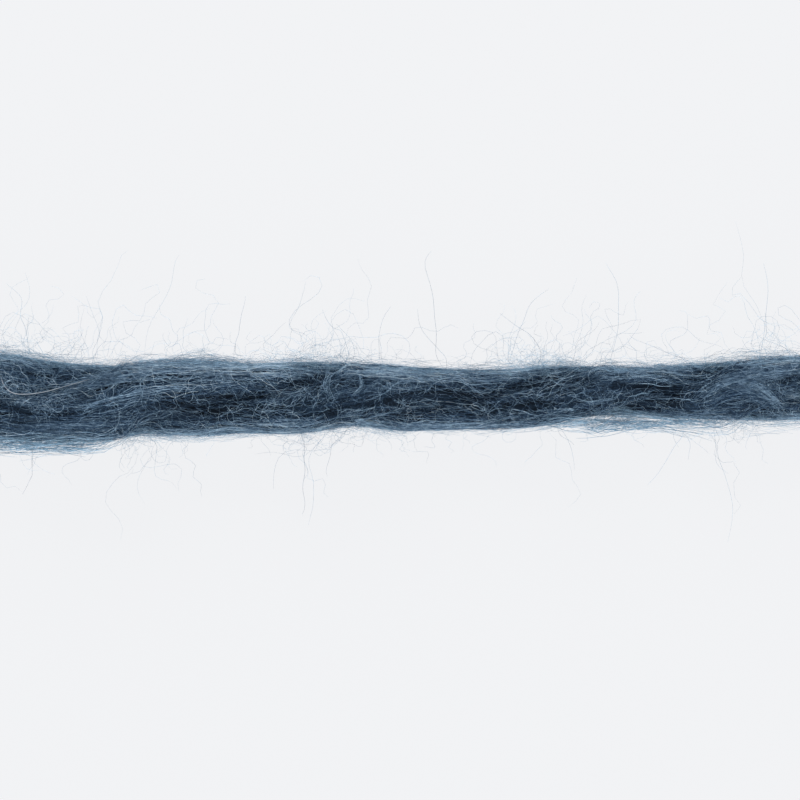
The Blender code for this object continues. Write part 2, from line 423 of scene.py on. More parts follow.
    def rim(self, points: Array) -> Array:
        """Works out how near places are to the strand's edges, as the share of painted rim light they get.

        Args:
            points: The places.

        Returns:
            From 0 inside and under the strand to 1 at its upper edge.
        """
        x, y = points[..., 0], points[..., 1]
        above = (self.at("upper", x) - y) / self.rim_widths[0]
        below = (y - self.at("lower", x)) / self.rim_widths[1]
        near = np.exp(-(above**2)) + self.lower_rim * np.exp(-(below**2))
        return near * np.clip(points[..., 2] / self.at("bulk", x), 0.0, self.rim_height) / self.rim_height

    def crevice(self, x: Array, angle: Array) -> Array:
        """How deep a place lies in the crevice between the plies, from 0 to 1."""
        beside = np.abs(np.sin(angle - self.at("lay", x)))
        return np.clip((beside - self.crevice_from) / (1.0 - self.crevice_from), 0.0, 1.0)


# ---- nodes and finishes


@dataclass(frozen=True)
class Wire:
    """One output of a node, on which Python arithmetic adds Math nodes."""

    tree: bpy.types.NodeTree
    socket: bpy.types.NodeSocket

    def other(self, out: int) -> "Wire":
        """Another output of the same node."""
        return Wire(self.tree, self.socket.node.outputs[out])

    def _maths(self, operation: str, first: "Wire | float", second: "Wire | float") -> "Wire":
        """Adds a Math node.

        Args:
            operation: What it works out.
            first: Its first value.
            second: Its second value.

        Returns:
            Its result.
        """
        made = self.tree.nodes.new("ShaderNodeMath")
        made.operation = operation
        fill(made, {0: first, 1: second})
        return Wire(self.tree, made.outputs[0])

    def __add__(self, other: "Wire | float") -> "Wire":
        """Sum."""
        return self._maths("ADD", self, other)

    def __radd__(self, other: float) -> "Wire":
        """Sum with a number on the left."""
        return self._maths("ADD", other, self)

    def __sub__(self, other: "Wire | float") -> "Wire":
        """Difference."""
        return self._maths("SUBTRACT", self, other)

    def __rsub__(self, other: float) -> "Wire":
        """Difference from a number on the left."""
        return self._maths("SUBTRACT", other, self)

    def __mul__(self, other: "Wire | float") -> "Wire":
        """Product."""
        return self._maths("MULTIPLY", self, other)

    def __rmul__(self, other: float) -> "Wire":
        """Product with a number on the left."""
        return self._maths("MULTIPLY", other, self)


Values = dict[str | int, object]
Stops = tuple[tuple[float, Triple], ...]


def fill(node: bpy.types.Node, values: Values) -> None:
    """Sets or links the sockets of a node.

    Args:
        node: The node.
        values: What goes into each socket, by its name or number.
    """
    for key, given in values.items():
        slot = node.inputs[key]
        if isinstance(given, Wire):
            given.tree.links.new(given.socket, slot)
        else:
            slot.default_value = given


@dataclass
class Plan:
    """A tree of nodes."""

    tree: bpy.types.NodeTree = field(init=False)

    def node(self, kind: str, settings: dict[str, object], values: Values, out: int | str = 0) -> Wire:
        """Adds any node.

        Args:
            kind: The node's type.
            settings: Its settings, of which stops are a ramp's places and colours.
            values: What goes into its sockets.
            out: The output that is wanted.

        Returns:
            That output.
        """
        made = self.tree.nodes.new(kind)
        for name, given in settings.items():
            if name == "stops":
                self._set_stops(made.color_ramp, given)
            else:
                setattr(made, name, given)
        fill(made, values)
        return Wire(self.tree, made.outputs[out])

    @staticmethod
    def _set_stops(ramp: bpy.types.ColorRamp, stops: Stops) -> None:
        """Gives a ramp its stops.

        Args:
            ramp: The ramp, which has two to begin with.
            stops: Their places and colours.
        """
        for index, (place, colour) in enumerate(stops):
            stop = ramp.elements[index] if index < 2 else ramp.elements.new(place)
            stop.position = place
            stop.color = (*colour, 1.0)


@dataclass
class Recipe(Plan):
    """A material's node tree, with its Principled shader."""

    name: str
    material: bpy.types.Material = field(init=False)

    def __post_init__(self) -> None:
        """Makes the material."""
        self.material = bpy.data.materials.new(self.name)
        self.material.use_nodes = True
        self.tree = self.material.node_tree

    def place(self) -> Wire:
        """Adds Object coordinates."""
        return self.node("ShaderNodeTexCoord", {}, {}, "Object")

    def drawn_out(self, place: Wire, share: float) -> Wire:
        """Draws a pattern out along X, by a share of its coordinates."""
        return self.node("ShaderNodeMapping", {}, {"Vector": place, "Scale": (share, 1.0, 1.0)})

    def noise(self, place: Wire, scale: float, detail: float, distortion: float = 0.0) -> Wire:
        """Adds a noise texture."""
        values = {"Vector": place, "Scale": scale, "Detail": detail, "Distortion": distortion}
        return self.node("ShaderNodeTexNoise", {}, values)

    def ramp(self, depth: Wire, *stops: tuple[float, Triple]) -> Wire:
        """Adds a colour ramp."""
        return self.node("ShaderNodeValToRGB", {"stops": stops}, {"Fac": depth})

    def finish(self, values: Values) -> bpy.types.Material:
        """Fills in the Principled shader and gives back the material."""
        fill(self.tree.nodes["Principled BSDF"], values)
        return self.material


@dataclass(frozen=True)
class FibreFinish:
    """Dyed wool fibre: its depth of colour varies from fibre to fibre and along each one, at random and with
    the painted light and shade that the layers put into its tone.
    """

    name: str
    deep: Triple = (0.003, 0.007, 0.013)
    middle: Triple = (0.035, 0.073, 0.132)
    pale: Triple = (0.290, 0.430, 0.560)
    bright: Triple = (0.560, 0.680, 0.760)
    mottle_scale: float = 700.0
    mottle: float = 0.34
    grain_scale: float = 7000.0
    grain_length: float = 0.30
    grain: float = 1.00
    tone_scale: float = 0.8
    roughness: float = 0.62
    deep_roughness: float = 0.25
    shine: float = 0.15

    def material(self) -> bpy.types.Material:
        """Builds the material, which reads the fibres' tone, with the painted light and shade in it.

        Returns:
            The material.
        """
        recipe = Recipe(self.name)
        tone = recipe.node("ShaderNodeAttribute", {"attribute_name": "tone"}, {}, "Fac")
        place = recipe.place()
        mottle = recipe.noise(place, self.mottle_scale, 2.0)
        grain = recipe.noise(recipe.drawn_out(place, self.grain_length), self.grain_scale, 1.0, 0.8)
        depth = (tone + (mottle - 0.5) * self.mottle + (grain - 0.5) * self.grain) * self.tone_scale
        stops = (0.0, self.deep), (0.4, self.middle), (0.8, self.pale), (1.0, self.bright)
        colour = recipe.ramp(depth, *stops)
        roughness = self.roughness + (1.0 - depth) * self.deep_roughness
        return recipe.finish({"Base Color": colour, "Roughness": roughness, "Specular IOR Level": self.shine})


@dataclass(frozen=True)
class GuardHairFinish:
    """A coarse, undyed guard hair, banded along its length."""

    name: str = "guard_hair"
    grey: Triple = (0.250, 0.300, 0.360)
    straw: Triple = (0.400, 0.440, 0.475)
    band_scale: float = 900.0
    shine: float = 0.4

    def material(self) -> bpy.types.Material:
        """Builds the material.

        Returns:
            The material.
        """
        recipe = Recipe(self.name)
        bands = recipe.noise(recipe.place(), self.band_scale, 2.0)
        colour = recipe.ramp(bands, (0.35, self.grey), (0.65, self.straw))
        roughness = 0.35 + bands * 0.2
        return recipe.finish({"Base Color": colour, "Roughness": roughness, "Specular IOR Level": self.shine})


@dataclass(frozen=True)
class ShadedCoreFinish:
    """The inside of the plies, far darker than the dye as painted shade, streaked along its length."""

    name: str = "core_painted_shade"
    dark: Triple = (0.003, 0.006, 0.011)
    light: Triple = (0.020, 0.042, 0.075)
    streak_scale: float = 1500.0
    streak_length: float = 0.10
    streak_height: float = 5e-5
    patch_scale: float = 260.0

    def material(self) -> bpy.types.Material:
        """Builds the material from streaks that are drawn out along X.

        Returns:
            The material.
        """
        recipe = Recipe(self.name)
        place = recipe.place()
        streaks = recipe.noise(recipe.drawn_out(place, self.streak_length), self.streak_scale, 3.0, 0.4)
        patches = recipe.noise(place, self.patch_scale, 2.0)
        depth = streaks * 0.7 + patches * 0.5 - 0.1
        relief = {"Height": streaks, "Strength": 0.6, "Distance": self.streak_height}
        values = {
            "Base Color": recipe.ramp(depth, (0.35, self.dark), (0.75, self.light)),
            "Roughness": 0.95 - streaks * 0.15,
            "Normal": recipe.node("ShaderNodeBump", {}, relief),
            "Specular IOR Level": 0.1,
        }
        return recipe.finish(values)


@dataclass(frozen=True)
class FloorFinish:
    """A pale, matt floor, lit from below as a light table is."""

    name: str = "pale_floor"
    colour: Triple = (0.03, 0.03, 0.03)
    glow_colour: Triple = (0.871, 0.879, 0.897)
    glow: float = 0.962

    def material(self) -> bpy.types.Material:
        """Builds the material.

        Returns:
            The material.
        """
        matt = {"Base Color": (*self.colour, 1.0), "Roughness": 0.9, "Specular IOR Level": 0.0}
        lit = {"Emission Color": (*self.glow_colour, 1.0), "Emission Strength": self.glow}
        return Recipe(self.name).finish(matt | lit)


# ---- making of pieces


def stand(name: str, data: bpy.types.ID) -> bpy.types.Object:
    """Puts an object of the given data into the scene.

    Args:
        name: Its name.
        data: Its mesh, lens or light.

    Returns:
        The object, at the origin.
    """
    made = bpy.data.objects.new(name, data)
    bpy.context.scene.collection.objects.link(made)
    return made


def cast(name: str, shape: bmesh.types.BMesh) -> bpy.types.Object:
    """Puts a finished shape into the scene.

    Args:
        name: The object's name.
        shape: The shape, which is used up.

    Returns:
        The object.
    """
    mesh = bpy.data.meshes.new(name)
    shape.to_mesh(mesh)
    shape.free()
    return stand(name, mesh)


def dress(piece: bpy.types.Object, material: bpy.types.Material) -> bpy.types.Object:
    """Gives a finished piece its material and its body, and reports it.

    Args:
        piece: The piece.
        material: Its finish.

    Returns:
        The same piece.
    """
    piece.data.materials.clear()
    piece.data.materials.append(material)
    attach(piece, BODY)
    triangles = sum(len(face.vertices) - 2 for face in piece.data.polygons)
    LOG.info("%s: %d triangles", piece.name, triangles)
    return piece


@dataclass
class FibreSkin(Plan):
    """Geometry nodes that turn each drawn line of a mesh into a thin, closed fibre."""

    sides: int = 3
    map_name: str = "OFBake"

    def __post_init__(self) -> None:
        """Sweeps a circle along each line, and lays the map round and along it in the line's cell."""
        self.tree = bpy.data.node_groups.new("fibre_skin", "GeometryNodeTree")
        for way in ("INPUT", "OUTPUT"):
            self.tree.interface.new_socket("Geometry", in_out=way, socket_type="NodeSocketGeometry")
        lines = self.node("GeometryNodeMeshToCurve", {}, {0: self.node("NodeGroupInput", {}, {})})
        girth, cell = self._attribute("girth", "FLOAT"), self._attribute("cell", "FLOAT_VECTOR")
        sizes = {"Resolution": self.sides, "Radius": 1.0}
        circle = self.node("GeometryNodeCurvePrimitiveCircle", {}, sizes)
        way_round = self.node("GeometryNodeSplineParameter", {}, {}, "Factor")
        kept = self.node("GeometryNodeCaptureAttribute", {}, {})
        kept.socket.node.capture_items.new("FLOAT", "around")
        fill(kept.socket.node, {0: circle, 1: way_round})
        sweep = {"Curve": lines, "Profile Curve": kept, "Scale": girth, "Fill Caps": True}
        skin = self.node("GeometryNodeCurveToMesh", {}, sweep)
        smooth = self.node("GeometryNodeSetShadeSmooth", {}, {0: skin})
        split = self.node("ShaderNodeSeparateXYZ", {}, {0: cell})
        parts = {0: kept.other(1), 1: split.other(2), 2: split.other(1)}
        higher = self.node("ShaderNodeMath", {"operation": "MULTIPLY_ADD"}, parts)
        join = self.node("ShaderNodeCombineXYZ", {}, {0: split, 1: higher})
        kind = {"data_type": "FLOAT2", "domain": "CORNER"}
        mapped = {"Name": self.map_name, "Geometry": smooth, "Value": join}
        store = self.node("GeometryNodeStoreNamedAttribute", kind, mapped)
        fill(self.tree.nodes.new("NodeGroupOutput"), {0: store})

    def _attribute(self, name: str, data_type: str) -> Wire:
        """Reads one of the lines' attributes."""
        return self.node("GeometryNodeInputNamedAttribute", {"data_type": data_type}, {"Name": name})

    def skin(self, lines: bpy.types.Object) -> bpy.types.Object:
        """Skins the lines and applies the result.

        Args:
            lines: An object whose mesh is only vertices and edges.

        Returns:
            A plain mesh object of the same name.
        """
        name = lines.name
        lines.modifiers.new("fibres", "NODES").node_group = self.tree
        ready = lines.evaluated_get(bpy.context.evaluated_depsgraph_get())
        mesh = bpy.data.meshes.new_from_object(ready)
        bpy.data.objects.remove(lines)
        return stand(name, mesh)


@dataclass
class Fibres:
    """Many fibres with the same number of points each, in millimetres."""

    points: Array
    radius: Array
    tone: Array
    tip_share: float = 0.45
    cell_margin: float = 0.1

    def _cells(self, count: int, steps: int) -> Array:
        """Gives each fibre its own cell of the map.

        Args:
            count: Number of fibres.
            steps: Points in each fibre.

        Returns:
            For each point its place in the map and the height of its cell.
        """
        margin, across = self.cell_margin, math.ceil(math.sqrt(count))
        index = np.arange(count)
        u = ((index % across)[:, None] + np.linspace(margin, 1.0 - margin, steps)) / across
        v = np.repeat(((index // across) + margin)[:, None] / across, steps, axis=1)
        return np.stack((u, v, np.full_like(u, (1.0 - 2.0 * margin) / across)), axis=-1)

    def piece(self, name: str, skin: FibreSkin) -> bpy.types.Object:
        """Draws the fibres as lines and skins them.

        Args:
            name: The piece's name.
            skin: What turns lines into fibres.

        Returns:
            The piece.
        """
        count, steps = self.points.shape[:2]
        swell = np.sin(np.linspace(0.0, math.pi, steps)) ** 0.5
        girth = self.radius[:, None] * (self.tip_share + (1.0 - self.tip_share) * swell) * MM
        tone = np.broadcast_to(self.tone if self.tone.ndim == 2 else self.tone[:, None], (count, steps))
        columns = {"girth": girth, "tone": tone, "cell": self._cells(count, steps)}
        lines = bmesh.new()
        layers = lines.verts.layers
        kinds = {"girth": layers.float, "tone": layers.float, "cell": layers.float_vector}
        keys = {key: kind.new(key) for key, kind in kinds.items()}
        for fibre in range(count):
            last = None
            for step in range(steps):
                vert = lines.verts.new(self.points[fibre, step] * MM)
                for key, column in columns.items():
                    vert[keys[key]] = column[fibre, step]
                if last:
                    lines.edges.new((last, vert))
                last = vert
        return skin.skin(cast(name, lines))


# ---- the core


@dataclass
class StrandCore:
    """The two plies as one closed skin, a little inside the fibres that lie on it."""

    form: StrandForm
    sides: int = 48
    steps: int = 180
    sunk: float = 0.24
    line_points: int = 73

    def build(self) -> bpy.types.Object:
        """Draws a cylinder of many steps out to the strand's sections.

        Returns:
            The piece, with its place in its mesh.
        """
        shape = bmesh.new()
        sizes = {"segments": self.sides, "radius1": 1.0, "radius2": 1.0, "depth": self.form.length}
        bmesh.ops.create_cone(shape, cap_ends=True, **sizes)
        run = [e for e in shape.edges if e.verts[0].co.z != e.verts[1].co.z]
        bmesh.ops.subdivide_edges(shape, edges=run, cuts=self.steps - 1, use_grid_fill=True)
        places = np.array([vert.co for vert in shape.verts])
        angles = np.arctan2(places[:, 1], places[:, 0])
        sunk = np.full(len(places), -self.sunk)
        for vert, point in zip(shape.verts, self.form.skin(places[:, 2], angles, sunk) * MM):
            vert.co = point
        piece = cast("strand_core", shape)
        piece.data.shade_smooth()
        return piece

    def centre_line(self) -> list[Triple]:
        """Finds the middles of the strand's sections.

        Returns:
            Points in metres.
        """
        stations = np.linspace(-self.form.length / 2, self.form.length / 2, self.line_points)
        middle = (self.form.at("upper", stations) + self.form.at("lower", stations)) / 2
        height = -self.form.at("bottom", stations) * self.form.at("bulk", stations)
        points = np.stack((stations, middle, height - self.form.settled), axis=1) * MM
        return [tuple(point) for point in points.tolist()]


# ---- fibre layers

SWINGS = (0.6, 1.3, 3.0)


@dataclass
class Layer:
    """The fibres of one piece, laid by random numbers of the layer's own."""

    form: StrandForm
    seed: int
    draw: Draw = field(init=False)

    def __post_init__(self) -> None:
        """Starts the random numbers."""
        self.draw = np.random.default_rng(self.seed)

    def build(self) -> Fibres:
        """Lays the fibres."""
        raise NotImplementedError

    def evenly(self, points: Array, radius: Span, tone: Span) -> Fibres:
        """Draws how thick and how pale laid fibres are, evenly between two limits each."""
        count = len(points)
        return Fibres(points, self.draw.uniform(*radius, count), self.draw.uniform(*tone, count))


def wander(draw: Draw, length: Array, steps: int, leaving: Span, curl: Triple) -> tuple[Array, Array]:
    """Lets fibres run on while their headings swing slowly and quickly.

    Args:
        draw: The source of random numbers.
        length: Each fibre's length.
        steps: Points in each fibre.
        leaving: The limits of the headings that they set out on, in radians.
        curl: How strong the slow, middling and quick swings are, in radians.

    Returns:
        How far each point is from its fibre's start, along it and aside.
    """
    t = np.linspace(0.0, math.tau, steps)
    heading = draw.uniform(*leaving, length.shape)
    swings = np.zeros((len(length), steps))
    for waves, size in zip(SWINGS, curl):
        swing = draw.normal(0.0, size, length.shape)
        swings += swing * np.sin(waves * t + draw.uniform(0.0, math.tau, length.shape))
    heading, step = heading + swings, length / (steps - 1)
    return np.cumsum(np.cos(heading) * step, axis=1), np.cumsum(np.sin(heading) * step, axis=1)


@dataclass
class PlyFibres(Layer):
    """Fibres that lie along the plies, in small bundles that wave together."""

    bundles: int
    in_bundle: int = 11
    points: int = 9
    length: Span = (6.0, 13.0)
    radius: Span = (0.014, 0.021)
    exposed: float = math.radians(118.0)
    lowest: float = -0.70
    sunk: Span = (-0.22, 0.02)
    lift: Span = (-0.03, 0.05)
    lift_wave: float = 0.03
    lift_waves: float = 1.9
    shift: float = 2.0
    spread: float = 0.055
    wave: float = 0.045
    wave_length: Span = (3.5, 8.0)
    own_wave: float = 0.4
    own_wave_length: float = 2.7
    drift: float = 0.22
    crinkle: float = 0.0
    crinkle_length: Span = (1.0, 1.8)
    tone: Span = (0.20, 0.62)
    tone_spread: float = 0.13
    lift_shading: float = 0.5
    patch_lift: float = 0.3
    crevice_shade: float = 0.34
    painted_rim_light: float = 0.30
    past_cut: Span = (-0.3, 0.35)

    def _bundle_places(self) -> tuple[Array, Array, Array]:
        """Draws where the bundles lie, leaving out those under the strand.

        Returns:
            Each bundle's station, ply and way from the ply's middle.
        """
        pool = self.bundles * 3
        x = self.draw.uniform(-self.form.length / 2, self.form.length / 2, pool)
        ply = self.draw.choice([ply.value for ply in Ply], pool)
        angle = self.form.at("lay", x) + ply + self.draw.uniform(-self.exposed, self.exposed, pool)
        seen = np.flatnonzero(np.sin(angle) > self.lowest)[: self.bundles]
        return x[seen], ply[seen], angle[seen]

    def build(self) -> Fibres:
        """Lays the fibres.

        Returns:
            The fibres of one piece.
        """
        draw, places = self.draw, self._bundle_places()
        shared = (self.wave_length, (0.0, math.tau), self.tone, self.sunk)
        rows = [*places, *(draw.uniform(*limits, len(places[0])) for limits in shared)]
        x0, ply, angle, long_wave, phase, shade, sunk = [np.repeat(r, self.in_bundle)[:, None] for r in rows]
        one = (len(x0), 1)
        length = draw.uniform(*self.length, one)
        reach = self.form.length / 2 + draw.uniform(*self.past_cut, one) - length / 2
        x0 = np.clip(x0 + draw.normal(0.0, self.shift, one), -reach, reach)
        t = np.linspace(-0.5, 0.5, self.points)
        x = x0 + length * t
        angle = angle + draw.normal(0.0, self.spread, one) + draw.uniform(-self.drift, self.drift, one) * t
        angle = angle + self.wave * np.sin(math.tau * x / long_wave + phase)
        own = draw.uniform(0.0, math.tau, one)
        angle = angle + self.own_wave * self.wave * np.sin(math.tau * x / self.own_wave_length + own)
        curls = x / draw.uniform(*self.crinkle_length, one)
        angle = angle + self.crinkle * np.sin(math.tau * curls + 2.0 * own)
        lift = sunk + draw.uniform(*self.lift, one) + self.lift_wave * np.sin(x * self.lift_waves + own)
        ply = np.repeat(ply, self.points, axis=1)
        # The patches' painted light and painted shade, which also sink the fibres under them.
        patch = self.form.shade(self.form.on_ply(x, ply, angle, lift))
        points = self.form.on_ply(x, ply, angle, lift + self.patch_lift * patch)
        # Sunk fibres are darker and lifted ones paler: painted shade by depth, on top of the random tone and
        # the patches.
        tone = shade + draw.normal(0.0, self.tone_spread, one) + self.lift_shading * lift + patch
        # Painted shade darkens the fibres in the crevice between the plies.
        tone = tone - self.crevice_shade * self.form.crevice(x, angle)
        # Painted rim light at the edges, strongest at the upper edge, on the key lamp's side.
        tone = tone + self.painted_rim_light * self.form.rim(points)
        return Fibres(points, draw.uniform(*self.radius, len(x0)), tone)


@dataclass(frozen=True)
class Tangle:
    """A place where curly fibres crowd together, in millimetres and degrees."""

    station: float
    way: float
    along: float
    around: float
    share: float


def crowd(draw: Draw, tangles: tuple[Tangle, ...], stations: Array, ways: Array) -> None:
    """Moves the first of the drawn places into the tangles.

    Args:
        draw: The source of random numbers.
        tangles: The tangles, each with its share of the places.
        stations: The places' stations, which are changed.
        ways: The places' ways in degrees, which are changed.
    """
    begin = 0
    for tangle in tangles:
        size = int(tangle.share * len(stations))
        many = slice(begin, begin + size)
        stations[many] = tangle.station + draw.normal(0.0, tangle.along, size)
        ways[many] = tangle.way + draw.normal(0.0, tangle.around, size)
        begin = many.stop


@dataclass
class CurlyFibres(Layer):
    """Curly fibres that lie over the skin and cross the plies."""

    count: int
    tangles: tuple[Tangle, ...]
    points: int = 17
    length: Span = (1.8, 6.5)
    radius: Span = (0.006, 0.011)
    lift: Span = (0.03, 0.18)
    lift_wave: float = 0.04
    lift_waves: float = 1.5
    over_side: float = 0.3
    past_cut: float = 0.6
    curl: Triple = (0.80, 0.65, 0.50)
    tone: Span = (0.45, 1.15)
    tone_bias: float = 1.6
    mean_radius: float = 3.0
    shaded: float = 0.5

    def build(self) -> Fibres:
        """Lays the fibres.

        Returns:
            The fibres of one piece.
        """
        draw, one, steps, half = self.draw, (self.count, 1), self.points, self.form.length / 2
        x0 = draw.uniform(-half, half, one)
        angle0 = np.degrees(draw.uniform(-self.over_side, math.pi + self.over_side, one))
        crowd(draw, self.tangles, x0[:, 0], angle0[:, 0])
        run, aside = wander(draw, draw.uniform(*self.length, one), steps, (0.0, math.tau), self.curl)
        x, angle = x0 + run, np.radians(angle0) + aside / self.mean_radius
        t = np.linspace(0.0, 1.0, steps)
        lift = draw.uniform(*self.lift, one) + self.lift_wave * np.sin(math.tau * self.lift_waves * t + x0)
        points = self.form.skin(np.clip(x, -half - self.past_cut, half + self.past_cut), angle, lift)
        tone = self.tone[0] + (self.tone[1] - self.tone[0]) * draw.random(one) ** self.tone_bias
        # The patches' painted light and painted shade, at a share.
        tone = tone + self.shaded * self.form.shade(points)
        return Fibres(points, draw.uniform(*self.radius, self.count), tone)


@dataclass
class Halo(Layer):
    """Fine fibres that wander out from one edge of the strand, as loops and free ends."""

    count: int
    side: Edge
    tangles: tuple[Tangle, ...]
    mean_length: float
    points: int = 15
    lengths: Span = (0.9, 10.0)
    turned: float = 8.0
    spread: float = 22.0
    sway: float = 0.1
    sway_waves: float = 0.7
    rooted: float = 0.08
    past_cut: float = 0.6
    leaving: Span = (0.1, 3.04)
    curl: Triple = (1.1, 0.9, 0.6)
    radius: Span = (0.006, 0.009)
    # Paler than the plies: painted light for the floor's light coming through the thin fibres.
    tone: Span = (0.70, 1.10)

    def build(self) -> Fibres:
        """Lays the fibres.

        Returns:
            The fibres of one piece.
        """
        draw, one, half = self.draw, (self.count, 1), self.form.length / 2
        x0 = draw.uniform(-half, half, one)
        turned = draw.normal(self.turned, self.spread, one)
        crowd(draw, self.tangles, x0[:, 0], turned[:, 0])
        length = np.clip(draw.exponential(self.mean_length, one), *self.lengths)
        run, aside = wander(draw, length, self.points, self.leaving, self.curl)
        x = np.clip(x0 + run, -half - self.past_cut, half + self.past_cut)
        way = self.form.widest(x0, self.side) + np.radians(turned)
        way = way + self.sway * np.sin(self.sway_waves * x + way)
        return self.evenly(self.form.skin(x, way, np.abs(aside) - self.rooted), self.radius, self.tone)


@dataclass(frozen=True)
class Wisp:
    """A see-through layer of loose fibres along an edge, in millimetres and degrees."""

    start: float
    end: float
    side: Edge
    turned: float
    reach: float
    fibres: int
    loose: float = 0.8
    longest: float = 4.0
    coarseness: float = 1.0


@dataclass
class Wisps(Layer):
    """Loose fibres that lie in soft layers along the strand's edges."""

    rows: tuple[Wisp, ...]
    points: int = 7
    shortest: float = 1.2
    longest_share: float = 0.9
    rooted: float = 0.10
    crowded_in: float = 2.2
    taper: float = 5.0
    spread: float = 12.0
    slant: float = 0.24
    turn: float = 2.0
    ripples: tuple[Triple, ...] = ((0.05, 2.4, 1.0), (0.035, 5.9, 2.0))
    radius: Span = (0.006, 0.011)
    # Paler than the plies: painted light for the floor's light coming through the thin fibres.
    tone: Span = (0.70, 1.00)

    def build(self) -> Fibres:
        """Lays the fibres of all the wisps.

        Returns:
            The fibres of one piece.
        """
        laid = self.evenly(np.concatenate([self._wisp(row) for row in self.rows]), self.radius, self.tone)
        laid.radius *= np.repeat([row.coarseness for row in self.rows], [row.fibres for row in self.rows])
        return laid

    def _wisp(self, row: Wisp) -> Array:
        """Lays one wisp.

        Args:
            row: The wisp.

        Returns:
            Its fibres' points.
        """
        draw, one = self.draw, (row.fibres, 1)
        span = row.end - row.start
        length = np.minimum(draw.uniform(self.shortest, row.longest, one), self.longest_share * span)
        run = length * np.linspace(-0.5, 0.5, self.points)
        x = row.start + length / 2 + (span - length) * draw.random(one) + run
        near_end = np.minimum(x - row.start, row.end - x) / min(self.taper, span / 2)
        swell = np.sin(np.clip(near_end, 0.0, 1.0) * math.pi / 2)
        lift = row.reach * swell * draw.beta(row.loose, self.crowded_in, one) - self.rooted
        lift = lift + draw.normal(0.0, self.slant, one) * run / np.sqrt(length)
        own = draw.uniform(0.0, math.tau, one)
        for size, waves, turns in self.ripples:
            lift = lift + size * np.sin(waves * x + turns * own)
        turned = row.turned + draw.normal(0.0, self.spread, one) + draw.normal(0.0, self.turn, one) * run
        return self.form.skin(x, self.form.widest(x, row.side) + np.radians(turned), lift)


@dataclass(frozen=True)
class Stray:
    """One long stray: where it starts, the way it leaves, its reach, and its tip's and middle's carry."""

    station: float
    way: float
    reach: float
    lean: float
    bow: float


STRAYS = tuple(Stray(*row) for row in (
    (-33.0, 24.0, 7.6, 0.8, -0.6), (-30.0, 12.0, 6.4, -1.4, 1.0), (-27.5, 38.0, 4.2, 2.0, 0.3),
    (-24.6, 20.0, 6.8, 0.1, 0.5), (-16.6, 30.0, 3.2, 0.9, 0.6), (-13.0, 14.0, 6.2, 0.2, -0.4),
    (-4.2, 26.0, 6.0, -1.6, 0.5), (-1.4, 10.0, 5.0, 0.3, -0.4), (3.8, 14.0, 9.8, -1.0, -1.5),
    (9.0, 30.0, 9.2, 3.0, -1.4), (10.8, 12.0, 5.0, -2.4, 1.2), (16.4, 22.0, 9.0, 0.0, 1.3),
    (25.6, 24.0, 3.4, -7.0, -1.2), (28.6, 12.0, 7.6, 0.4, 0.5), (31.6, 34.0, 2.8, -3.0, 0.8),
    (-29.4, 172.0, 4.4, -1.0, 0.6), (-8.0, 166.0, 7.2, 0.2, 0.5), (-3.3, 174.0, 4.4, -2.4, -1.0),
    (12.2, 168.0, 4.0, 2.0, 0.7), (22.4, 160.0, 6.2, -3.0, 1.2), (25.4, 172.0, 10.6, -0.6, 0.6),
    (-19.0, 80.0, 3.4, 1.4, -0.8), (-6.0, 104.0, 3.0, -1.8, 0.8), (6.4, 70.0, 3.6, 1.6, 0.9),
    (20.0, 98.0, 3.2, -1.6, -0.7),
))


@dataclass
class LongStrays(Layer):
    """Fibres that stand far out of the strand, a few in each stray."""

    in_stray: int = 2
    points: int = 26
    buried: float = 0.7
    rise: float = 0.25
    clear: float = 0.05
    shorter: float = 0.35
    swing: float = 0.05
    swings: Triple = (0.7, 1.6, 3.1)
    loosening: float = 0.8
    radius: Span = (0.008, 0.012)
    tone: Span = (0.60, 0.90)

    def _path(self, stray: Stray, t: Array) -> Array:
        """Works out the middle of a stray, from its buried root to its free tip.

        Args:
            stray: The stray.
            t: Shares of its length.

        Returns:
            A point for each share.
        """
        station, angle = np.full(2, stray.station), np.full(2, math.radians(stray.way))
        root, skin = self.form.skin(station, angle, np.array([-self.buried, 0.0]))
        outward = (skin - root) / np.linalg.norm(skin - root)
        tip = skin + outward * stray.reach + np.array([stray.lean, 0.0, 0.0])
        middle = (skin + tip) / 2 + np.array([stray.bow, 0.0, self.rise * stray.reach * outward[2]])
        early = root + (skin - root) * 2.0
        late = middle * 2 - (early + tip) / 2
        t = t[:, None]
        start, end = root * (1 - t) ** 3, tip * t**3
        return start + early * 3 * t * (1 - t) ** 2 + late * 3 * t * t * (1 - t) + end

    def build(self) -> Fibres:
        """Lays the strays.

        Returns:
            The fibres of one piece.
        """
        t = np.linspace(0.0, 1.0, self.points)
        fibres = []
        for stray in STRAYS:
            for fibre in range(self.in_stray):
                path = self._path(stray, t * (1.0 - self.shorter * fibre))
                fibres.append(path + self._wander(t, stray.reach))
        points = np.array(fibres)
        points[..., 2] = np.maximum(points[..., 2], self.clear)
        return self.evenly(points, self.radius, self.tone)

    def _wander(self, t: Array, reach: float) -> Array:
        """Works out how far a fibre strays from its path, which grows towards its tip.

        Args:
            t: Shares of its length.
            reach: How far the stray stands out.

        Returns:
            The way aside at each share.
        """
        aside = np.zeros((self.points, 3))
        for waves in self.swings:
            size = self.draw.normal(0.0, self.swing * reach / waves, 3)
            phase = self.draw.uniform(0.0, math.tau, 3)
            aside += size * np.sin(math.tau * waves * t[:, None] + phase) * (t**self.loosening)[:, None]
        return aside


@dataclass(frozen=True)
class Lock:
    """A few fibres laid over the strand, in millimetres seen from above.

    The guide holds the X and the Y of each of its points in turn.
    """

    guide: tuple[float, ...]
    width: float
    fibres: int
    tone: float
    lift: float = 0.10


